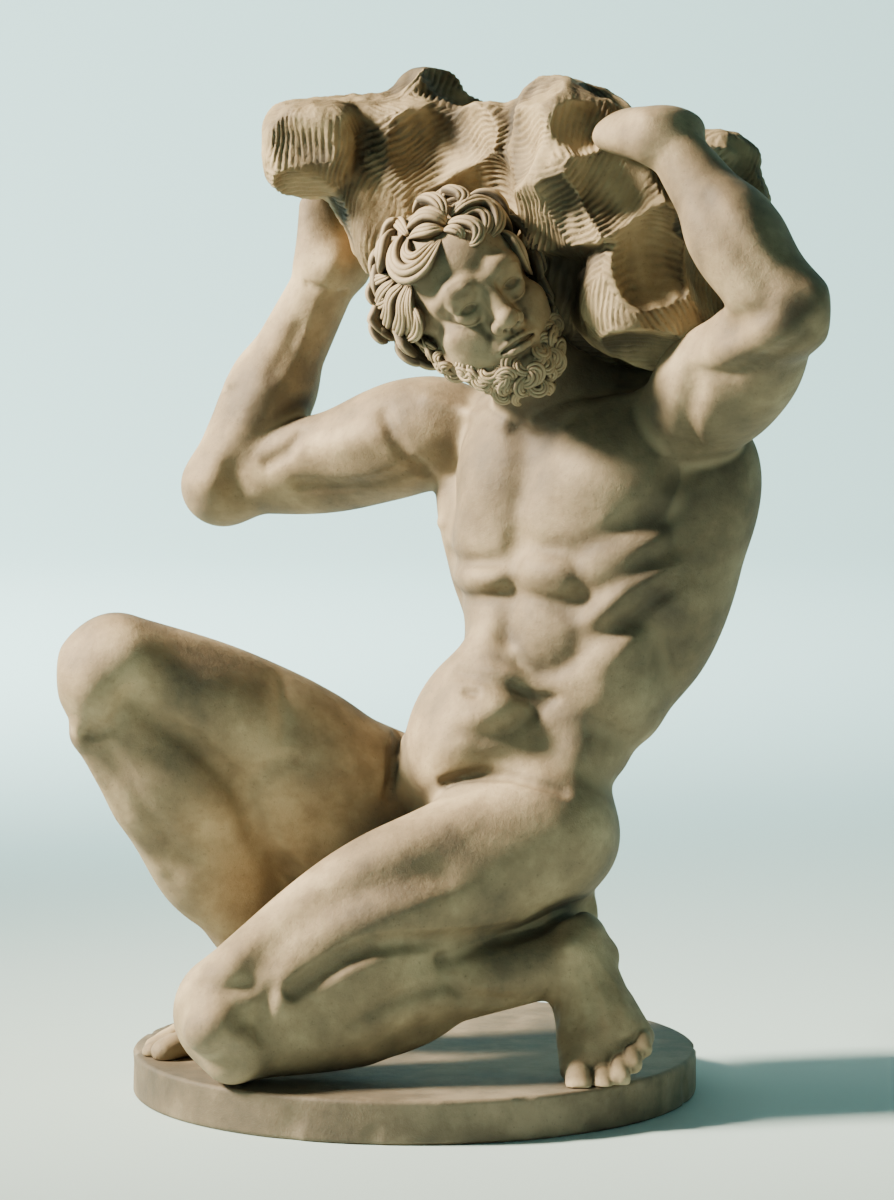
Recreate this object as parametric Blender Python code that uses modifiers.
"""A fired-clay statuette of a kneeling, bearded Atlas on a round base.

The man kneels on his left knee and holds a rough rock on his shoulders. Man and rock are one
piece of fired clay, and the round base is a second piece that they rest on. The body is built
up as a sculptor would, from lumps for the muscles, which are then merged and smoothed.

Landmarks of the free form are written in units of a thousandth of the real height in metres,
so a unit is a millimetre at FIGURE_HEIGHT as given. X runs to the viewer's right, Y away from
the viewer, Z up, and the origin is the centre of the base's underside.
"""
import math

import bmesh
import bpy
import numpy as np
from mathutils import Euler, Matrix, Vector

# Driving dimensions, in metres
FIGURE_HEIGHT = 0.5747
BASE_RADIUS = 0.165
BASE_THICKNESS = 0.025
BASE_EDGE_ROUND = 0.0025
SEAT_GAP = 0.0003

# The free form's own scale: its landmarks stand between these two heights
FORM_FLOOR = 25.3
FORM_TOP = 600.0
UNIT = FIGURE_HEIGHT / (FORM_TOP - FORM_FLOOR)

# Fineness of the clay, in units, and of the finished solid
ROCK_VOXEL = 4.0
CLAY_VOXEL = 3.4
CREASE_FILL = 9.0
FLESH = 1.5
SMOOTH_TURNS = 3
FIGURE_TRIANGLES = 8000
BASE_STEPS = 64
BASE_CORNER_STEPS = 2

# Directions in the chest and in the hips: forward, to the man's left, and up
CHEST_FORWARD = Vector((-0.60, -0.80, 0.05)).normalized()
CHEST_LEFT = Vector((0.80, -0.60, 0.0)).normalized()
CHEST_UP = CHEST_FORWARD.cross(CHEST_LEFT).normalized()
HIPS_FORWARD = Vector((-0.84, -0.54, 0.10)).normalized()
HIPS_LEFT = Vector((0.54, -0.84, 0.0)).normalized()
HIPS_UP = Vector((0.42, 0.12, 0.90)).normalized()
WORLD_UP = Vector((0.0, 0.0, 1.0))

# Landmarks of the pose, in units
LEFT_HIP = Vector((70, -46, 154))
LEFT_KNEE = Vector((-103, -106, 57))
LEFT_ANKLE = Vector((90, -68, 86))
RIGHT_HIP = Vector((28, 30, 159))
RIGHT_KNEE = Vector((-173, -40, 253))
RIGHT_ANKLE = Vector((-80, 12, 62))
RIGHT_SHOULDER = Vector((14, 58, 382))
RIGHT_ELBOW = Vector((-117, 118, 347))
RIGHT_WRIST = Vector((-50, 106, 480))
LEFT_SHOULDER = Vector((160, -50, 398))
LEFT_ELBOW = Vector((206, -142, 458))
LEFT_WRIST = Vector((141, -92, 555))
HIPS = (LEFT_HIP + RIGHT_HIP) / 2 + Vector((6, 0, 14))
WAIST = Vector((89, 0, 255))
CHEST = Vector((102, 0, 332))
NECK = Vector((94, 6, 396))
NECK_TOP = Vector((54, -20, 438))
HEAD = Vector((33, -44, 463))
HEAD_UP = Vector((-0.50, -0.04, 0.86)).normalized()
HEAD_FORWARD = Vector((0.22, -0.96, 0.14))


def frame_of(along, facing):
    """Three directions at right angles: to the side, to the front, and along."""
    along = along.normalized()
    front = (facing - along * facing.dot(along)).normalized()
    return front.cross(along), front, along


class Bone:
    """A straight line from one joint to the next, and the way that its front faces."""

    def __init__(self, start, end, facing):
        self.start, self.length = start, (end - start).length
        self.side, self.front, self.along = frame_of(end - start, facing)

    def at(self, share, side=0.0, front=0.0):
        return self.start + self.along * self.length * share + self.side * side + self.front * front


def unit_sphere(around, down):
    """The points and faces of a sphere of radius one, with its poles on Z."""
    ball = bmesh.new()
    bmesh.ops.create_uvsphere(ball, u_segments=around, v_segments=down, radius=1.0)
    ball.verts.ensure_lookup_table()
    points = np.array([vert.co[:] for vert in ball.verts])
    faces = [[vert.index for vert in face.verts] for face in ball.faces]
    ball.free()
    return points, faces


SPHERE, SPHERE_FACES = unit_sphere(20, 12)
FINE_SPHERE, FINE_SPHERE_FACES = unit_sphere(36, 24)


class Lumps:
    """Closed lumps of clay, gathered in one mesh until they are merged."""

    def __init__(self):
        self.points, self.faces, self.count = [], [], 0

    def add(self, points, faces):
        self.points.append(points)
        self.faces += [[self.count + corner for corner in face] for face in faces]
        self.count += len(points)

    def ball(self, centre, axes, radii):
        """A sphere with its three radii along the three axes."""
        self.add((SPHERE * radii) @ np.array(axes) + np.array(centre), SPHERE_FACES)

    def rounded_block(self, centre, turns, radii, power):
        """A sphere drawn out to the surface where the powers of X, Y and Z sum to one."""
        size = (np.abs(FINE_SPHERE) ** power).sum(1) ** (1 / power)
        turn = np.array(Euler([math.radians(angle) for angle in turns]).to_matrix())
        self.add((FINE_SPHERE / size[:, None] * radii) @ turn.T + np.array(centre), FINE_SPHERE_FACES)

    def muscle(self, start, end, side, front, facing):
        """A spindle from start to end, with its half widths to the side and to the front."""
        axes = frame_of(end - start, facing)
        self.ball((start + end) / 2, axes, (side, front, (end - start).length / 2))

    def limb(self, start, end, thick_start, thick_end, facing):
        """A sphere parted at its equator: one half rounds the start, the other half the end."""
        axes = np.array(frame_of(end - start, facing))
        far = SPHERE[:, 2:] > 0.01
        near_half = (SPHERE * (*thick_start, min(thick_start))) @ axes + np.array(start)
        far_half = (SPHERE * (*thick_end, min(thick_end))) @ axes + np.array(end)
        self.add(np.where(far, far_half, near_half), SPHERE_FACES)

    def add_piece(self, piece):
        """Add an object's mesh as its modifiers leave it, and remove the object."""
        bpy.context.view_layer.update()
        finished = piece.evaluated_get(bpy.context.evaluated_depsgraph_get())
        mesh = bpy.data.meshes.new_from_object(finished)
        points = np.array([vert.co[:] for vert in mesh.vertices])
        self.add(points, [list(face.vertices) for face in mesh.polygons])
        bpy.data.meshes.remove(mesh)
        bpy.data.objects.remove(piece)

    def to_object(self, name, collection):
        mesh = bpy.data.meshes.new(name)
        mesh.from_pydata(np.concatenate(self.points).tolist(), [], self.faces)
        piece = bpy.data.objects.new(name, mesh)
        collection.objects.link(piece)
        return piece


def in_chest(left, up, forward):
    return CHEST + CHEST_LEFT * left + CHEST_UP * up + CHEST_FORWARD * forward


def in_hips(left, up, forward):
    return HIPS + HIPS_LEFT * left + HIPS_UP * up + HIPS_FORWARD * forward


def add_torso(clay):
    """Rib cage, waist and hips as limbs, then the muscles that lie on them."""
    clay.limb(in_chest(-2, -28, -2), in_chest(-2, 34, -4), (80, 54), (74, 50), CHEST_FORWARD)
    clay.limb(WAIST + Vector((-4, 0, 0)), in_chest(-4, -10, 0), (58, 44), (72, 50), CHEST_FORWARD)
    half_turned = HIPS_FORWARD + CHEST_FORWARD
    clay.limb(in_hips(0, 4, 0), WAIST + Vector((-2, 0, 0)), (54, 49), (58, 46), half_turned)
    clay.muscle(in_hips(0, -40, -4), in_hips(0, 40, 0), 58, 48, HIPS_FORWARD)
    for s in (-1, 1):
        clay.muscle(in_chest(s * 36 - 2, -60, 14), in_chest(s * 42 - 2, 24, 12), 36, 38, CHEST_FORWARD)
        clay.muscle(in_chest(s * 8, 20, 42), in_chest(s * 74, 38, 18), 34, 20, CHEST_FORWARD)
        clay.muscle(in_chest(s * 10, 46, 34), in_chest(s * 80, 60, 4), 24, 18, CHEST_FORWARD)
        clay.muscle(in_chest(s * 74, -20, -8), in_chest(s * 84, 62, -18), 22, 30, CHEST_FORWARD)
        clay.muscle(in_chest(s * 40, 8, -46), in_chest(s * 62, 70, -36), 34, 20, CHEST_FORWARD)
        clay.muscle(in_chest(s * 17, -120, -34), in_chest(s * 17, 20, -46), 15, 16, CHEST_FORWARD)
        clay.limb(in_chest(s * 8, 66, -26), in_chest(s * 66, 62, -10), (26, 18), (22, 18), CHEST_FORWARD)
    clay.muscle(in_chest(46, -100, -14), in_chest(88, 44, -10), 22, 30, CHEST_FORWARD)
    clay.muscle(in_chest(-50, -84, -12), in_chest(-97, 40, 4), 22, 30, CHEST_FORWARD)
    clay.limb(in_chest(0, 50, -20), NECK + Vector((0, 0, 12)), (50, 36), (32, 30), CHEST_FORWARD)
    clay.muscle(Vector((51, -34, 262)), Vector((3, -24, 182)), 36, 20, HIPS_FORWARD)
    clay.muscle(Vector((70, -44, 214)), Vector((16, -30, 192)), 18, 26, WORLD_UP)
    clay.muscle(Vector((115, -40, 215)), Vector((107, -48, 300)), 26, 24, CHEST_FORWARD)
    clay.muscle(Vector((121, -30, 205)), Vector((128, -30, 275)), 22, 28, CHEST_FORWARD)
    clay.muscle(Vector((88, -62, 206)), Vector((118, -18, 200)), 16, 18, WORLD_UP)
    clay.muscle(LEFT_HIP + Vector((-24, 22, -6)), LEFT_HIP + Vector((28, 30, -70)), 26, 30, WORLD_UP)
    clay.muscle(Vector((-60, 8, 142)), Vector((-8, 6, 138)), 24, 26, WORLD_UP)
    clay.muscle(LEFT_HIP + Vector((8, 14, 28)), LEFT_HIP + Vector((16, 28, -34)), 34, 36, HIPS_FORWARD)
    clay.muscle(RIGHT_HIP + Vector((28, 22, 26)), RIGHT_HIP + Vector((44, 22, -32)), 38, 40, HIPS_FORWARD)
    clay.limb(NECK + Vector((-2, 0, 0)), NECK_TOP, (31, 31), (28, 28), CHEST_FORWARD)


def add_stomach_muscles(clay):
    """Two columns of shallow blocks down the belly, on both sides of the middle line."""
    for row in range(3):
        for s in (-1, 1):
            centre = in_chest(s * 17 - 1, -14 - row * 25, 49 - row * 4)
            clay.ball(centre, (CHEST_LEFT, CHEST_FORWARD, CHEST_UP), (15, 9, 12))


def add_legs(clay):
    add_right_leg(clay)
    add_left_leg(clay)


def add_right_leg(clay):
    """Thigh raised to the knee, shin down to the foot behind."""
    thigh = Bone(RIGHT_HIP, RIGHT_KNEE, Vector((0.2, -0.1, 1)))
    clay.limb(thigh.at(-0.02, 0, -12), thigh.at(0.5, 0, -8), (46, 42), (38, 38), thigh.front)
    clay.limb(thigh.at(0.45, 0, -8), thigh.at(1, 0, 0), (38, 38), (29, 31), thigh.front)
    clay.muscle(thigh.at(0.3, 0, 13), thigh.at(1.04, 0, 11), 26, 26, thigh.front)
    clay.muscle(thigh.at(0.34, -20, 2), thigh.at(0.98, -18, 2), 18, 22, thigh.front)
    clay.muscle(thigh.at(0.3, 20, 2), thigh.at(0.97, 18, 2), 18, 24, thigh.front)
    clay.muscle(thigh.at(-0.02, 0, -42), thigh.at(0.84, -4, -40), 35, 37, thigh.front)
    clay.muscle(thigh.at(0.88, 0, -2), thigh.at(1.13, 0, -12), 25, 25, thigh.front)
    shin = Bone(RIGHT_KNEE, RIGHT_ANKLE, Vector((-1, -0.35, -0.1)))
    clay.limb(shin.at(0.04, 0, 3), shin.at(0.36, 0, 2), (28, 30), (29, 36), shin.front)
    clay.limb(shin.at(0.32, 0, -2), shin.at(0.62, 0, 2), (29, 35), (26, 30), shin.front)
    clay.limb(shin.at(0.6, 0, 2), shin.at(1, 0, 0), (25, 29), (18, 19), shin.front)
    clay.muscle(shin.at(0.06, 9, -20), shin.at(0.66, 8, -16), 23, 27, shin.front)
    clay.muscle(shin.at(0.06, -9, -20), shin.at(0.62, -8, -16), 23, 27, shin.front)
    clay.muscle(shin.at(0.1, -6, 17), shin.at(0.74, -4, 22), 18, 17, shin.front)
    clay.limb(shin.at(0.45, 0, -18), shin.at(1, 0, -16), (13, 13), (8, 9), shin.front)
    clay.muscle(shin.at(0.04, 0, 25), shin.at(0.3, 0, 27), 13, 12, shin.front)


def add_left_leg(clay):
    """Thigh down to the knee on the base, shin back along the base to the foot."""
    thigh = Bone(LEFT_HIP, LEFT_KNEE, Vector((-0.35, -0.1, 1)))
    clay.limb(thigh.at(-0.02, 0, 2), thigh.at(0.5, 0, 8), (44, 44), (38, 38), thigh.front)
    clay.limb(thigh.at(0.45, 0, 8), thigh.at(0.98, 0, 6), (38, 38), (32, 33), thigh.front)
    clay.muscle(thigh.at(0.02, 4, 24), thigh.at(0.92, 0, 27), 28, 27, thigh.front)
    clay.muscle(thigh.at(0.2, 22, 10), thigh.at(0.95, 16, 4), 20, 24, thigh.front)
    clay.muscle(thigh.at(0.3, -20, 10), thigh.at(0.95, -16, 4), 20, 24, thigh.front)
    clay.muscle(thigh.at(-0.02, 4, -12), thigh.at(0.6, 4, -2), 30, 22, thigh.front)
    clay.muscle(thigh.at(0.86, 0, 6), thigh.at(1.13, 0, 2), 26, 27, thigh.front)
    clay.ball(LEFT_KNEE + Vector((-10, -26, 2)), frame_of(thigh.along, thigh.front), (15, 13, 15))
    clay.ball(LEFT_KNEE + Vector((6, -18, -14)), frame_of(thigh.along, thigh.front), (18, 15, 20))
    shin = Bone(LEFT_KNEE, LEFT_ANKLE, Vector((0, -0.45, -1)))
    clay.limb(shin.at(0.02, 0, 2), shin.at(0.35, 0, 6), (28, 31), (27, 30), shin.front)
    clay.limb(shin.at(0.3, 0, 2), shin.at(1, 0, 0), (26, 25), (18, 17), shin.front)
    clay.muscle(shin.at(0.08, 10, 0), shin.at(0.66, 10, -2), 21, 23, shin.front)
    clay.muscle(shin.at(0.08, -12, 0), shin.at(0.66, -12, 0), 21, 23, shin.front)
    clay.muscle(shin.at(0.02, -6, 17), shin.at(0.64, -6, 18), 18, 17, shin.front)
    clay.limb(shin.at(0.5, 0, -12), shin.at(1.05, 0, -14), (12, 12), (8, 9), shin.front)


# Toes from the great one out: place to the side, place ahead, half thickness, length
TOES = ((-18, 64, 9.5, 26), (-5, 68, 7.4, 24), (6, 64, 7.0, 22), (15, 58, 6.6, 19), (23, 51, 6.4, 16))


def add_foot(clay, ankle, forward, up, outward, toes_point):
    """Instep, heel, sole and five toes; outward is the side of the little toe."""
    forward = forward.normalized()
    outward = (outward - forward * outward.dot(forward)).normalized()
    instep = forward.cross(outward)
    if instep.dot(up) < 0:
        instep = -instep

    def at(ahead, out, over):
        return ankle + forward * ahead + outward * out + instep * over

    clay.limb(at(-8, 0, -2), at(44, 2, -18), (19, 20), (22, 14), instep)
    clay.limb(at(-20, 0, -6), at(-22, 0, -22), (17, 17), (17, 16), forward)
    clay.limb(at(-16, 0, -24), at(50, 14, -28), (14, 12), (12, 10), instep)
    clay.limb(at(-12, -2, -20), at(58, -13, -24), (12, 12), (15, 13), instep)
    for out in (-16, 15):
        clay.muscle(at(-12, out, -7), at(8, out, -3), 9, 9, instep)
    toes_point = toes_point.normalized()
    for out, ahead, thick, length in TOES:
        root = at(ahead - 4, out, -24)
        clay.limb(at(ahead - 26, out * 0.8, -18), root, (thick, thick), (thick, thick), instep)
        clay.limb(root, root + toes_point * length, (thick, thick), (thick * 0.9, thick * 0.9), instep)


def add_arm(clay, shoulder, elbow, wrist, upper_facing, lower_facing, cap_start, cap_end, cap, wrist_size):
    """Upper arm with its two muscles and shoulder cap, then the forearm with its three."""
    upper, lower = Bone(shoulder, elbow, upper_facing), Bone(elbow, wrist, lower_facing)
    clay.limb(upper.at(0), upper.at(1), (26, 27), (20, 21), upper.front)
    clay.muscle(upper.at(0.14, 0, 10), upper.at(0.92, 0, 11), 20, 19, upper.front)
    clay.muscle(upper.at(-0.05, 0, -15), upper.at(0.9, 0, -11), 22, 22, upper.front)
    clay.muscle(upper.at(cap_start, 0, 4), upper.at(cap_end, 0, 4), cap, cap, upper.front)
    clay.muscle(lower.at(-0.12, 0, -6), lower.at(0.1, 0, -4), 14, 13, lower.front)
    clay.limb(lower.at(0), lower.at(0.45), (24, 23), (26, 24), lower.front)
    clay.limb(lower.at(0.4), lower.at(1), (25, 23), wrist_size, lower.front)
    clay.muscle(lower.at(-0.04, 12, 4), lower.at(0.6, 11, 2), 17, 19, lower.front)
    clay.muscle(lower.at(-0.06, 0, 8), lower.at(0.62, 0, 9), 15, 15, lower.front)
    clay.muscle(lower.at(0.02, -12, 4), lower.at(0.62, -11, 2), 17, 19, lower.front)


# Fingers from the first to the little one: place to the side, half thickness, three lengths
FINGERS = (
    (-17, 6.2, (22, 14, 11)), (-6, 6.6, (24, 16, 12)), (5, 6.4, (22, 15, 11)), (15, 5.6, (18, 12, 9)),
)


def add_hand(clay, wrist, along, back, thumb_away, curl):
    """Palm, four fingers of three joints that curl around the rock, and a thumb."""
    along = along.normalized()
    back = (back - along * back.dot(along)).normalized()
    out = along.cross(back)
    if out.dot(thumb_away) < 0:
        out = -out

    def at(ahead, aside, over):
        return wrist + along * ahead + out * aside + back * over

    clay.limb(at(0, -2, 0), at(34, -4, 0), (22, 14), (24, 10), back)
    clay.limb(at(0, 6, 0), at(34, 8, 0), (17, 14), (18, 10), back)
    for aside, thick, joints in FINGERS:
        start, bend = at(40, aside, 0), 0.1
        for number, length in enumerate(joints):
            bend += curl * (0.8 if number == 0 else 1.0)
            end = start + (along * math.cos(bend) - back * math.sin(bend)) * length
            clay.limb(start, end, (thick, thick), (thick * 0.94, thick * 0.94), back)
            start = end
    clay.limb(at(8, -14, -4), at(28, -32, -12), (9, 9), (7, 7), back)
    clay.limb(at(28, -32, -12), at(50, -38, -20), (7, 7), (6, 6), back)


def add_feet(clay):
    add_foot(clay, RIGHT_ANKLE, Vector((-0.85, -0.45, -0.12)), WORLD_UP, Vector((-0.45, 0.85, 0)),
             Vector((-0.86, -0.48, -0.1)))
    add_foot(clay, LEFT_ANKLE + Vector((4, 0, 2)), Vector((0.20, -0.62, -0.50)),
             Vector((-0.2, -0.6, 0.6)), Vector((0.85, 0.35, 0.2)), Vector((-0.10, -0.70, -0.60)))


def add_arms(clay):
    add_arm(clay, RIGHT_SHOULDER, RIGHT_ELBOW, RIGHT_WRIST, Vector((0.1, -0.6, 0.8)),
            Vector((0.8, -0.55, -0.3)), -0.24, 0.5, 33, (20, 17))
    add_arm(clay, LEFT_SHOULDER, LEFT_ELBOW, LEFT_WRIST, Vector((-0.5, -0.4, 0.9)),
            Vector((-0.8, 0.3, -0.6)), -0.16, 0.6, 32, (16, 14))


def add_hands(clay):
    add_hand(clay, RIGHT_WRIST, Vector((0.12, 0.15, 0.95)), Vector((-0.4, 0.9, 0.1)),
             Vector((-1, 0, 0)), 0.35)
    add_hand(clay, LEFT_WRIST, Vector((-0.52, 0.85, 0.12)), Vector((-0.1, -0.3, 1)),
             Vector((0, -1, 0)), 0.4)


def add_head(clay):
    """Skull, jaw and a plain face of ordinary proportions, with curled hair and a beard."""
    side, front, up = frame_of(HEAD_UP, HEAD_FORWARD)

    def at(aside, ahead, over):
        return HEAD + side * aside + front * ahead + up * over

    clay.ball(at(0, -6, 10), (side, front, up), (39, 46, 44))
    clay.limb(at(0, 8, 2), at(0, 19, -36), (34, 30), (21, 17), front)
    clay.limb(at(-17, 33, 12), at(17, 33, 12), (5, 5), (5, 5), up)
    clay.limb(at(0, 39, 8), at(0, 47, -12), (4, 4), (6, 5), front)
    clay.limb(at(-8, 36, -26), at(8, 36, -26), (4, 5), (4, 5), up)
    for s in (-1, 1):
        clay.muscle(at(s * 20, 30, 2), at(s * 14, 32, -16), 9, 8, front)
    curls = 60
    turn = math.pi * (3 - math.sqrt(5))
    for number in range(curls):
        height = 1 - 1.5 * (number + 0.5) / curls
        ring = math.sqrt(max(1 - height * height, 0))
        aside, ahead = ring * math.cos(turn * number), ring * math.sin(turn * number)
        if ahead > 0.42 and height < 0.62:
            continue
        clay.ball(at(aside * 41, -6 + ahead * 48, 10 + height * 46), (side, front, up), (10, 10, 10))
    jaw = 15
    for row in range(3):
        for number in range(jaw):
            angle = math.radians(-12 + 204 * (number + 0.5 * (row % 2)) / (jaw - 1))
            reach = 1.0 - 0.16 * row
            place = at(36 * reach * math.cos(angle), 2 + 36 * reach * math.sin(angle),
                       -12 - 20 * math.sin(max(angle, 0)) - 11 * row)
            clay.ball(place, (side, front, up), (8, 8, 9))


# The stone before it is scooped: each mass a rounded block by its centre, its three half sizes,
# its turns about X, Y and Z in degrees, and its power, where 2 is an ellipsoid and 4 nearly a box
STONE_MASSES = (
    ((-57, 60, 551), (32, 42, 29), (0, -6, -6), 3.2), ((-20, 62, 512), (25, 38, 38), (0, -24, 0), 3.2),
    ((-20, 66, 560), (34, 36, 20), (0, 6, 0), 3.0), ((-10, 66, 571), (30, 24, 15), (0, -20, 0), 3.0),
    ((5, 66, 574), (22, 22, 25.5), (10, 16, 20), 3.0),
    ((14, 66, 536), (46, 50, 46), (0, 0, 0), 2.8), ((8, 76, 502), (36, 40, 36), (0, 0, 0), 2.6),
    ((48, 36, 540), (34, 50, 38), (0, 0, 10), 2.8), ((87, -16, 553), (33, 52, 36), (0, 8, 8), 3.0),
    ((112, -24, 522), (54, 66, 36), (0, -6, -8), 2.8), ((118, 12, 500), (62, 60, 58), (0, 0, 0), 2.6),
    ((136, -30, 468), (46, 58, 40), (0, 14, 0), 2.8), ((104, 20, 462), (50, 50, 46), (0, 0, 0), 2.4),
    ((160, 16, 514), (46, 44, 36), (0, 0, 0), 2.6), ((178, 36, 541), (23, 26, 18), (0, 16, 10), 3.4),
    ((133, -58, 448), (32, 34, 22), (0, 10, 0), 2.8),
)
# Scoops out of the stone: a point on its face, the way that face looks, the scoop's radius and depth
SCOOPS = (
    ((-62, 18, 553), (-0.3, -1, 0.05), 95, 4), ((-60, 34, 525), (-0.3, -0.6, -0.8), 30, 4),
    ((-42, 24, 510), (-0.35, -1, -0.15), 70, 4), ((2, 14, 552), (0.1, -1, 0.15), 42, 15),
    ((30, 10, 526), (0, -1, -0.45), 32, 10), ((58, -42, 556), (-0.75, -0.65, 0.1), 46, 6),
    ((93, -70, 565), (0.2, -1, -0.1), 21, 13), ((112, -88, 526), (0.15, -0.95, 0.3), 46, 17),
    ((150, -72, 534), (0.5, -0.8, 0.45), 60, 8), ((136, -90, 499), (0.1, -0.8, -0.6), 34, 18),
    ((106, -92, 464), (-0.35, -1, -0.05), 60, 5), ((148, -88, 462), (0.3, -1, -0.1), 90, 4),
    ((130, -66, 430), (-0.05, -0.7, -0.8), 60, 5), ((72, -62, 486), (-0.85, -0.55, -0.1), 60, 10),
    ((-38, 50, 583), (0, -0.15, 1), 60, 6), ((38, 46, 580), (0.1, -0.1, 1), 40, 8),
    ((-92, 60, 548), (-1, 0, -0.1), 70, 5), ((26, 46, 588), (0.9, -0.2, 0.4), 40, 4),
    ((60, 92, 530), (0, 1, 0), 70, 9), ((-22, 112, 520), (-0.3, 1, -0.2), 46, 10),
    ((130, 72, 520), (0.3, 1, 0.1), 60, 10), ((20, 106, 480), (0, 0.6, -0.8), 50, 8),
    ((176, 58, 500), (0.6, 0.7, -0.3), 46, 9), ((-52, 104, 550), (-0.4, 1, 0.2), 50, 8),
    ((128, 24, 562), (0.2, 0.3, 1), 60, 8), ((100, 78, 480), (0.2, 0.9, -0.4), 44, 9),
    ((186, -40, 500), (0.9, -0.3, -0.1), 60, 8), ((196, 8, 542), (0.4, -1, 0.2), 40, 4),
    ((-82, 36, 574), (-0.6, -0.3, 0.75), 70, 4), ((-32, 24, 577), (0.3, -0.6, 0.7), 50, 4),
    ((64, -34, 580), (-0.4, -0.5, 0.75), 45, 5), ((114, -30, 577), (0.5, -0.3, 0.8), 45, 3),
    ((88, -76, 506), (-0.5, -0.8, -0.2), 40, 6), ((166, -60, 482), (0.7, -0.7, 0.1), 45, 5),
)


def add_rock(clay, workshop):
    """The stone's masses merged, less its scoops, added to the figure's clay."""
    masses, scoops = Lumps(), Lumps()
    for centre, radii, turns, power in STONE_MASSES:
        masses.rounded_block(centre, turns, radii, power)
    for place, facing, radius, depth in SCOOPS:
        away = Vector(facing).normalized()
        centre = Vector(place) + away * (radius - depth)
        scoops.rounded_block(centre, (0, 0, 0), (radius, radius, radius), 2)
    stone = masses.to_object("stone_masses", workshop)
    cutter = scoops.to_object("stone_scoops", workshop)
    merge(stone, ROCK_VOXEL)
    merge(cutter, ROCK_VOXEL)
    cut = stone.modifiers.new("scooped", "BOOLEAN")
    cut.object, cut.operation = cutter, "DIFFERENCE"
    clay.add_piece(stone)
    bpy.data.objects.remove(cutter)


def merge(piece, voxel):
    """Fuse what overlaps into one skin."""
    remesh = piece.modifiers.new("merged", "REMESH")
    remesh.mode, remesh.voxel_size = "VOXEL", voxel


def swell(piece, amount):
    """Move the skin out along its normals, or in where the amount is negative."""
    displace = piece.modifiers.new("swollen", "DISPLACE")
    displace.strength, displace.mid_level = amount, 0.0


def fill_creases(piece):
    """Round the creases between muscles: swell, fuse, and shrink again by a little less."""
    merge(piece, CLAY_VOXEL)
    swell(piece, CREASE_FILL)
    merge(piece, CLAY_VOXEL)
    swell(piece, FLESH - CREASE_FILL)


def fired_clay(name, colour, roughness):
    """A matt fired-clay finish."""
    material = bpy.data.materials.new(name)
    material.use_nodes = True
    shader = material.node_tree.nodes["Principled BSDF"]
    shader.inputs["Base Color"].default_value = (*colour, 1.0)
    shader.inputs["Roughness"].default_value = roughness
    shader.inputs["Metallic"].default_value = 0.0
    return material


def to_size(mesh):
    """Turn units into metres, and set the form's floor on the base with its gap."""
    lift = Matrix.Translation((0, 0, BASE_THICKNESS + SEAT_GAP - FORM_FLOOR * UNIT))
    mesh.transform(lift @ Matrix.Scale(UNIT, 4))


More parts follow.
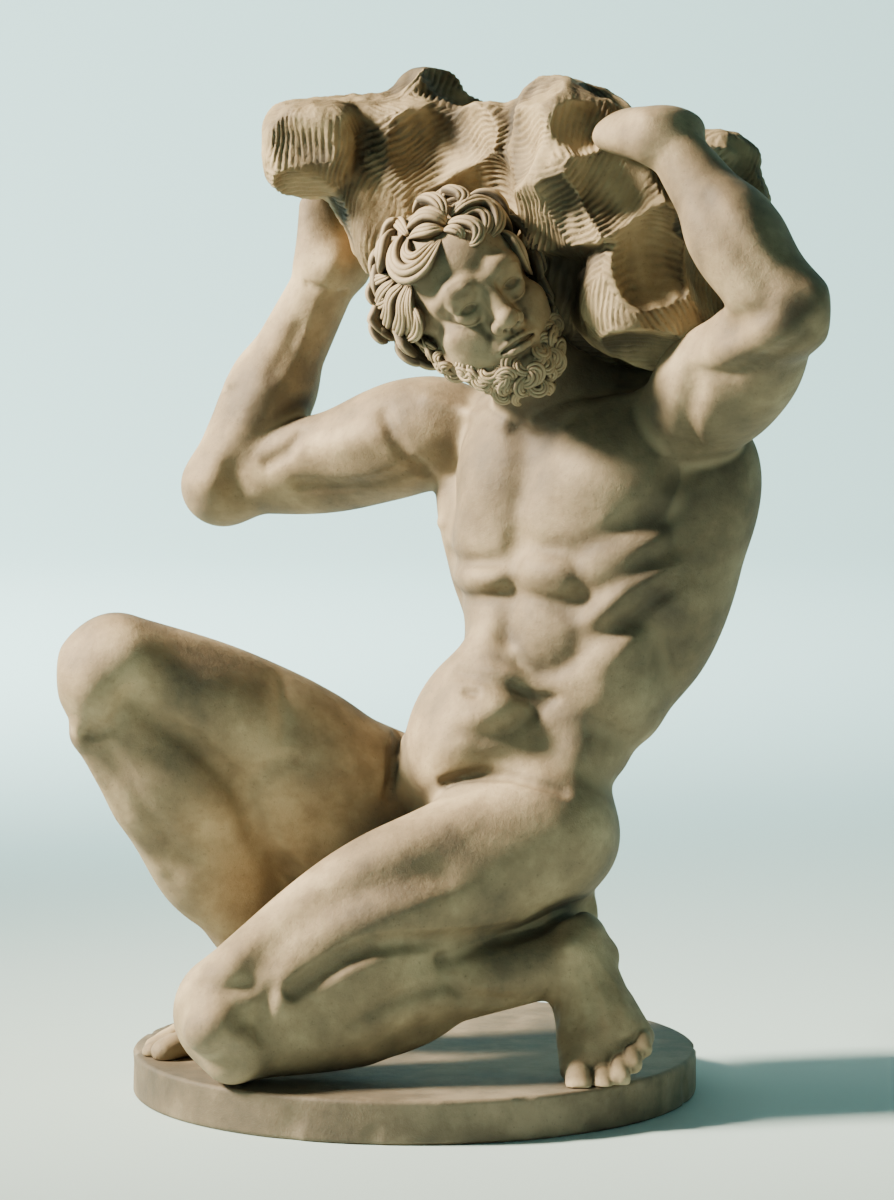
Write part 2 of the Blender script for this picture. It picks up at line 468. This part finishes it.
def make_figure(collection, cutters):
    """The man and his rock: lumps merged, smoothed, thinned, and cut flat above the base."""
    body = Lumps()
    add_torso(body)
    add_stomach_muscles(body)
    add_legs(body)
    add_arms(body)
    flesh = body.to_object("flesh", cutters)
    fill_creases(flesh)
    clay = Lumps()
    clay.add_piece(flesh)
    add_feet(clay)
    add_hands(clay)
    add_head(clay)
    add_rock(clay, cutters)
    figure = clay.to_object("figure_with_rock", collection)
    to_size(figure.data)
    figure.data.materials.append(fired_clay("buff_fired_clay", (0.42, 0.31, 0.20), 0.75))
    merge(figure, CLAY_VOXEL * UNIT)
    soften = figure.modifiers.new("softened", "SMOOTH")
    soften.factor, soften.iterations = 0.5, SMOOTH_TURNS
    bpy.context.view_layer.update()
    merged = figure.evaluated_get(bpy.context.evaluated_depsgraph_get()).data
    faces = sum(len(face.vertices) - 2 for face in merged.polygons)
    thin = figure.modifiers.new("thinned", "DECIMATE")
    thin.ratio = FIGURE_TRIANGLES / faces
    seat = figure.modifiers.new("seat", "BOOLEAN")
    seat.object, seat.operation = space_below_seat(cutters), "DIFFERENCE"


def space_below_seat(cutters):
    """The block that cuts the figure flat, a gap above the base."""
    depth, reach = 2 * BASE_THICKNESS, 4 * BASE_RADIUS
    block = bmesh.new()
    place = Matrix.Translation((0, 0, BASE_THICKNESS + SEAT_GAP - depth / 2))
    bmesh.ops.create_cube(block, size=1.0, matrix=place @ Matrix.Diagonal((reach, reach, depth, 1.0)))
    mesh = bpy.data.meshes.new("below_the_seat")
    block.to_mesh(mesh)
    block.free()
    cutter = bpy.data.objects.new("below_the_seat", mesh)
    cutter.hide_render, cutter.display_type = True, "WIRE"
    cutters.objects.link(cutter)
    return cutter


def make_base(collection):
    """A turned disc with softly rounded edges, from its profile."""
    outline = [(0.0, BASE_THICKNESS)]
    for centre_height, first in ((BASE_THICKNESS - BASE_EDGE_ROUND, 90), (BASE_EDGE_ROUND, 0)):
        for step in range(BASE_CORNER_STEPS + 1):
            angle = math.radians(first - 90 * step / BASE_CORNER_STEPS)
            outline.append((BASE_RADIUS - BASE_EDGE_ROUND + BASE_EDGE_ROUND * math.cos(angle),
                            centre_height + BASE_EDGE_ROUND * math.sin(angle)))
    outline.append((0.0, 0.0))
    mesh = bpy.data.meshes.new("round_base")
    edges = [(number, number + 1) for number in range(len(outline) - 1)]
    mesh.from_pydata([(x, 0.0, z) for x, z in outline], edges, [])
    base = bpy.data.objects.new("round_base", mesh)
    mesh.materials.append(fired_clay("grey_fired_clay", (0.30, 0.27, 0.19), 0.8))
    collection.objects.link(base)
    turn = base.modifiers.new("turned", "SCREW")
    turn.steps = turn.render_steps = BASE_STEPS
    turn.use_merge_vertices, turn.merge_threshold = True, 0.00001


def main():
    for thing in list(bpy.data.objects):
        bpy.data.objects.remove(thing)
    collection = bpy.data.collections.new("atlas_statue")
    cutters = bpy.data.collections.new("cutters")
    for group in (collection, cutters):
        bpy.context.scene.collection.children.link(group)
    make_base(collection)
    make_figure(collection, cutters)


main()
